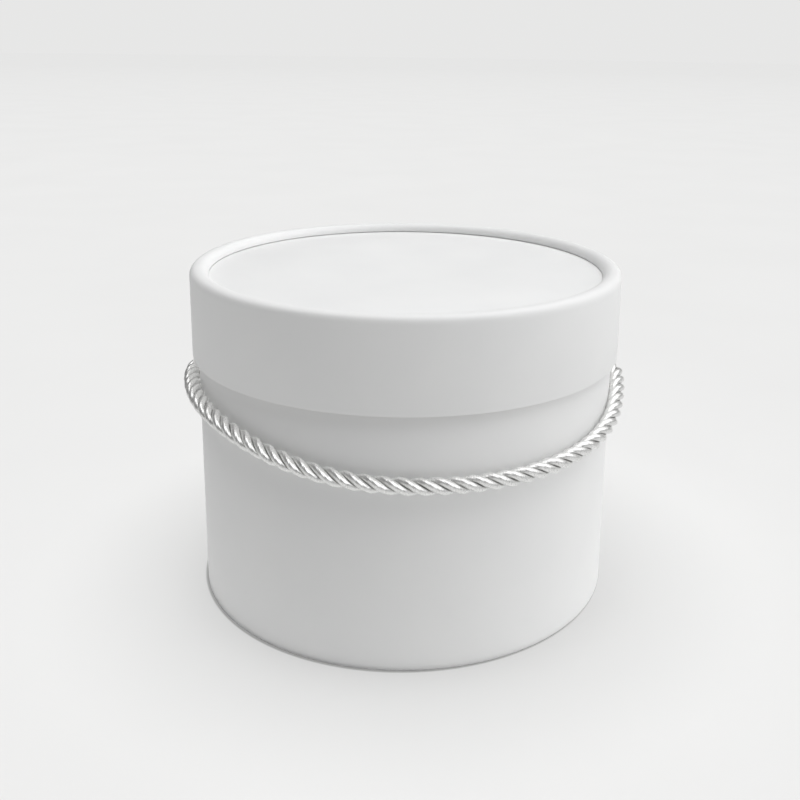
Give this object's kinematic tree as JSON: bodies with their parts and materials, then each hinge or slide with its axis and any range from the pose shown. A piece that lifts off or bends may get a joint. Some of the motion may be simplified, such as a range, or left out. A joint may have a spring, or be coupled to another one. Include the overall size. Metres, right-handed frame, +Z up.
{
  "type": "hat box",
  "caption": "Round white paperboard hat box with a straight-sided body, a lift-off lid with a rolled rim and recessed top, and a twisted rope handle knotted through the sides.",
  "frame": {"origin": "centre of the circle that the body stands on, at the level of the standing surface", "axes": "+Z up through the lid; the rope handle hangs on the -Y side, and its two holes are on the X axis"},
  "size_m": [0.1892, 0.1843, 0.1374],
  "materials": {
    "greyboard": "matte",
    "wrap_paper": "matte",
    "lining_paper": "matte",
    "rope_yarn": "satin",
    "end_tape": "gloss"
  },
  "bodies": {
    "box": {"body_tube": "greyboard", "body_wrap": "wrap_paper", "body_lining": "lining_paper", "base_panel": "greyboard", "base_cover": "wrap_paper", "base_lining": "lining_paper"},
    "lid": {"lid_tube": "greyboard", "lid_wrap": "wrap_paper", "lid_lining": "lining_paper", "lid_panel": "greyboard", "lid_panel_cover": "wrap_paper", "lid_panel_lining": "lining_paper"},
    "rope_handle": {"rope": "rope_yarn", "knot_left": "rope_yarn", "knot_right": "rope_yarn", "rope_tail_left": "rope_yarn", "rope_tail_right": "rope_yarn", "end_tape_left": "end_tape", "end_tape_right": "end_tape"}
  },
  "joints": [
    {"name": "lid_lift", "type": "slide", "parent": "box", "child": "lid", "axis": [0, 0, 1], "range_m": [0, 0.12]},
    {"name": "rope_handle_swing", "type": "hinge", "parent": "box", "child": "rope_handle", "pos_m": [0, 0, 0.09], "axis": [-1, 0, 0], "range_deg": [0, 10]}
  ]
}
